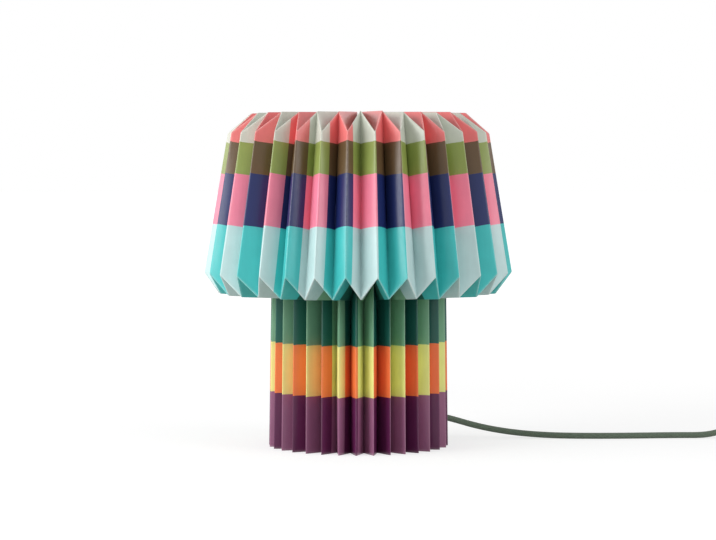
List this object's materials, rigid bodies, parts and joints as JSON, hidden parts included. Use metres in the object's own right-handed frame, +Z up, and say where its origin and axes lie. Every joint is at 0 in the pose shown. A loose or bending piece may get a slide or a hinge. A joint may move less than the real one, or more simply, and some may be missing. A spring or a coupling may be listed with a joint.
{
  "type": "pleated paper table lamp",
  "caption": "Mushroom-shaped table lamp: a pleated paper body in a colour check stands over a steel stand with lampholder and bulb; textile cord, in-line switch and plug.",
  "frame": {"origin": "on the table, under the middle of the lamp", "axes": "+Z up along the lamp's axis, the lamp's front towards -Y, the cord leaves towards +X"},
  "size_m": [0.7002, 0.2938, 0.3209],
  "materials": {
    "printed_paper": "satin printed paper, colour check",
    "plain_paper": "uncoated white paper",
    "string": "waxed cotton",
    "felt": "wool felt",
    "powder_coat": "fine white powder coat",
    "zinc_steel": "bright zinc plate",
    "white_plastic": "moulded, fine texture",
    "ceramic": "glazed",
    "brass": "stamped",
    "nickel": "nickel plate",
    "opal": "opal, satin",
    "nylon": "moulded nylon",
    "rubber": "soft moulded",
    "lead_sheath": "smooth sheath",
    "textile": "braided textile cover",
    "switch_plastic": "moulded, satin",
    "tie": "woven band"
  },
  "bodies": {
    "stand": {"base_pad": "felt", "base_disc": "powder_coat", "stem_tube": "zinc_steel", "stem_nuts": "zinc_steel", "hub_cup": "powder_coat", "neck_spider": "powder_coat", "shade_carrier": "powder_coat", "carrier_ring": "powder_coat", "holder_cap": "white_plastic", "holder_skirt": "white_plastic", "holder_insert": "ceramic", "screw_shell": "brass", "centre_contact": "brass", "shade_rings": "white_plastic", "bulb_tip": "brass", "bulb_cap": "nickel", "bulb_housing": "white_plastic", "bulb_globe": "opal", "cord_gland": "nylon", "gland_nut": "nylon", "cord_relief": "rubber", "internal_lead": "lead_sheath", "cord_lamp": "textile", "switch_base": "switch_plastic", "switch_cover": "switch_plastic", "switch_pin": "zinc_steel", "switch_screws": "zinc_steel", "switch_contacts": "brass", "switch_reliefs": "rubber", "cord_run": "textile", "cord_coil": "textile", "coil_tie": "tie", "plug_relief": "rubber", "plug_body": "switch_plastic", "plug_pins": "nickel"},
    "paper_body": {"paper_front": "printed_paper", "paper_right": "printed_paper", "paper_rear": "printed_paper", "paper_left": "printed_paper", "seam_strips": "plain_paper", "top_string": "string"},
    "rocker": {"switch_rocker": "switch_plastic"}
  },
  "joints": [
    {"name": "paper_lift", "type": "slide", "parent": "stand", "child": "paper_body", "axis": [0, 0, 1], "range_m": [0, 0.33]},
    {"name": "rocker_tilt", "type": "hinge", "parent": "stand", "child": "rocker", "pos_m": [0.429, 0.056, 0.0113], "axis": [0, -1, 0], "range_deg": [0, 14]}
  ]
}
